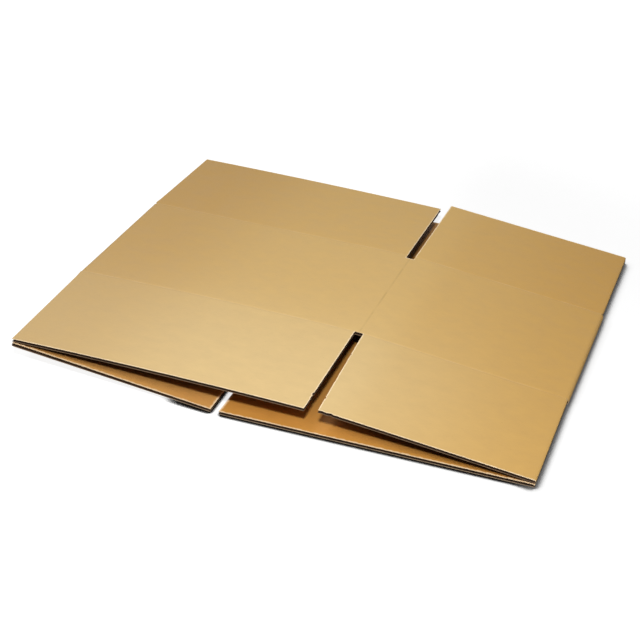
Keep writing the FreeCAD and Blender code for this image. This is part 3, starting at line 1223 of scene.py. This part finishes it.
def shadow_floor():
    """White floor that keeps the pack's shadow, darkest in a narrow band where the board touches it."""
    mesh = bpy.data.meshes.new("studio_floor")
    reach, level = FLOOR_REACH, FLOOR_LEVEL
    corners = [(-reach, -reach, level), (reach, -reach, level), (reach, reach, level), (-reach, reach, level)]
    mesh.from_pydata(corners, [], [(0, 1, 2, 3)])
    floor = bpy.data.objects.new("studio_floor", mesh)
    bpy.context.scene.collection.objects.link(floor)
    material = bpy.data.materials.new("white_floor")
    material.use_nodes = True
    nodes, links = material.node_tree.nodes, material.node_tree.links
    shader = nodes["Principled BSDF"]
    shader.inputs["Roughness"].default_value = 1.0
    shader.inputs["Specular IOR Level"].default_value = 0.0
    shader.inputs["Emission Color"].default_value = (1.0, 1.0, 1.0, 1.0)
    contact = nodes.new("ShaderNodeAmbientOcclusion")
    contact.samples = 12
    tree = material.node_tree
    place = nodes.new("ShaderNodeTexCoord")
    apart = nodes.new("ShaderNodeSeparateXYZ")
    links.new(place.outputs["Object"], apart.inputs[0])
    beside = ranged(tree, apart.outputs["X"], 0.235, 0.262)
    contact_reach = ranged(tree, apart.outputs["X"], 0.235, 0.262, 0.006, 0.013)
    links.new(contact_reach, contact.inputs["Distance"])
    grain = noise_node(tree, place.outputs["Object"], 60.0, 2.0)
    open_tone = mixed(tree, grain, (0.29, 0.29, 0.29), (0.31, 0.31, 0.31))
    deepest = math_node(tree, "MULTIPLY", beside, 0.12)
    band = ranged(tree, contact.outputs["AO"], 0.64, 0.80, deepest, 0.84)
    tail = ranged(tree, contact.outputs["AO"], 0.78, 0.99, 0.0, 0.16, kind="LINEAR")
    clear = math_node(tree, "ADD", band, tail)
    tone = mixed(tree, clear, (0.02, 0.018, 0.016), open_tone)
    links.new(tone, shader.inputs["Base Color"])
    far = nodes.new("ShaderNodeVectorMath")
    far.operation = "LENGTH"
    links.new(place.outputs["Object"], far.inputs[0])
    nearby = ranged(tree, apart.outputs["X"], -0.10, 0.08, 0.89, 0.76)
    lift = ranged(tree, far.outputs["Value"], 0.35, 0.85, nearby, 0.98)
    path = nodes.new("ShaderNodeLightPath")
    seen = math_node(tree, "MULTIPLY", path.outputs["Is Camera Ray"], lift)
    links.new(math_node(tree, "MULTIPLY", seen, clear), shader.inputs["Emission Strength"])
    mesh.materials.append(material)


def studio_lamp(name, size, power, place, aim):
    data = bpy.data.lights.new(name, "AREA")
    data.shape = "DISK"
    data.size = size
    data.energy = power
    lamp = bpy.data.objects.new(name, data)
    lamp.location = place
    lamp.rotation_mode = "QUATERNION"
    lamp.rotation_quaternion = (Vector(aim) - Vector(place)).to_track_quat("-Z", "Y")
    bpy.context.scene.collection.objects.link(lamp)
    return lamp


def studio_world(strength):
    world = bpy.data.worlds.new("pale_surroundings")
    bpy.context.scene.world = world
    world.use_nodes = True
    tree = world.node_tree
    nodes, links = tree.nodes, tree.links
    plain = nodes["Background"]
    plain.inputs["Color"].default_value = (1.0, 1.0, 1.0, 1.0)
    path = nodes.new("ShaderNodeLightPath")
    seen = math_node(tree, "MAXIMUM", path.outputs["Is Camera Ray"], path.outputs["Is Transmission Ray"])
    seen = math_node(tree, "MAXIMUM", seen, path.outputs["Is Glossy Ray"])
    links.new(ranged(tree, seen, 0.0, 1.0, strength, 1.0, "LINEAR"), plain.inputs["Strength"])


def studio_camera(studio):
    azimuth, elevation, roll = studio.azimuth, studio.elevation, studio.roll
    back = Vector((
        math.sin(azimuth) * math.cos(elevation), -math.cos(azimuth) * math.cos(elevation), math.sin(elevation)
    ))
    right = (-back).cross(Vector((0.0, 0.0, 1.0))).normalized()
    up = right.cross(-back)
    level_right = right * math.cos(roll) + up * math.sin(roll)
    level_up = -right * math.sin(roll) + up * math.cos(roll)
    data = bpy.data.cameras.new("photo_camera")
    data.lens = studio.lens
    data.sensor_width = 36.0
    data.clip_start, data.clip_end = 0.05, 100.0
    camera = bpy.data.objects.new("photo_camera", data)
    facing = Matrix((level_right, level_up, back)).transposed().to_4x4()
    camera.matrix_world = Matrix.Translation(Vector(studio.target) + back * studio.distance) @ facing
    bpy.context.scene.collection.objects.link(camera)
    bpy.context.scene.camera = camera


class CARTON_OT_sleeve(bpy.types.Operator):
    """Build the sleeve: four panels, both folds, the glued joint and the four lower flaps"""

    bl_idname = "carton.sleeve"
    bl_label = "Build sleeve"

    def execute(self, context):
        build_sleeve()
        return {"FINISHED"}


class CARTON_OT_long_flaps(bpy.types.Operator):
    """Build the long flaps of the upper layer, front and back"""

    bl_idname = "carton.long_flaps"
    bl_label = "Build long flaps"

    def execute(self, context):
        build_flap("long_flap_front", "upper_long", -1, 0.0, "long_front")
        build_flap("long_flap_back", "upper_long", 1, context.scene.carton_form.taper_long, "long_back")
        return {"FINISHED"}


class CARTON_OT_short_flaps(bpy.types.Operator):
    """Build the short flaps of the upper layer, front and back"""

    bl_idname = "carton.short_flaps"
    bl_label = "Build short flaps"

    def execute(self, context):
        form = context.scene.carton_form
        build_flap("short_flap_front", "upper_short", -1, form.taper_front, "short_front")
        build_flap("short_flap_back", "upper_short", 1, form.taper_back, "short_back")
        return {"FINISHED"}


class CARTON_OT_studio(bpy.types.Operator):
    """Set up the white floor, the soft lamps, the pale surroundings and the camera"""

    bl_idname = "carton.studio"
    bl_label = "Set up studio"

    def execute(self, context):
        studio = context.scene.carton_studio
        shadow_floor()
        studio_world(studio.fill)
        studio_lamp("camera_key", studio.key_size, studio.key, tuple(studio.key_place), (0.0, -0.1, 0.0))
        studio_lamp("left_window", 0.9, studio.window, tuple(studio.window_place), (0.0, 0.0, 0.0))
        studio_camera(studio)
        context.scene.view_settings.view_transform = "Standard"
        return {"FINISHED"}


class CARTON_PT_panel(bpy.types.Panel):
    """Lists the carton's sizes, finishes and build steps"""

    bl_idname = "CARTON_PT_panel"
    bl_label = "Flattened Carton"
    bl_space_type = "VIEW_3D"
    bl_region_type = "UI"
    bl_category = "Carton"

    def draw(self, context):
        layout, scene = self.layout, context.scene
        for settings in (scene.carton_form, scene.carton_board, scene.carton_finish, scene.carton_studio):
            box = layout.box()
            for name in settings.__annotations__:
                box.prop(settings, name)
        for operator in (CARTON_OT_sleeve, CARTON_OT_long_flaps, CARTON_OT_short_flaps, CARTON_OT_studio):
            layout.operator(operator.bl_idname)


GROUPS = (
    (BoardSizes, "carton_board"),
    (CartonForm, "carton_form"),
    (PaperFinish, "carton_finish"),
    (StudioSetting, "carton_studio"),
)
CLASSES = (CARTON_OT_sleeve, CARTON_OT_long_flaps, CARTON_OT_short_flaps, CARTON_OT_studio, CARTON_PT_panel)


def register():
    for group, name in GROUPS:
        bpy.utils.register_class(group)
        setattr(bpy.types.Scene, name, PointerProperty(type=group))
    for kind in CLASSES:
        bpy.utils.register_class(kind)


def unregister():
    for kind in reversed(CLASSES):
        bpy.utils.unregister_class(kind)
    for group, name in reversed(GROUPS):
        delattr(bpy.types.Scene, name)
        bpy.utils.unregister_class(group)


def main():
    register()
    bpy.ops.carton.sleeve()
    bpy.ops.carton.long_flaps()
    bpy.ops.carton.short_flaps()
    bpy.ops.carton.studio()


if __name__ == "__main__":
    main()
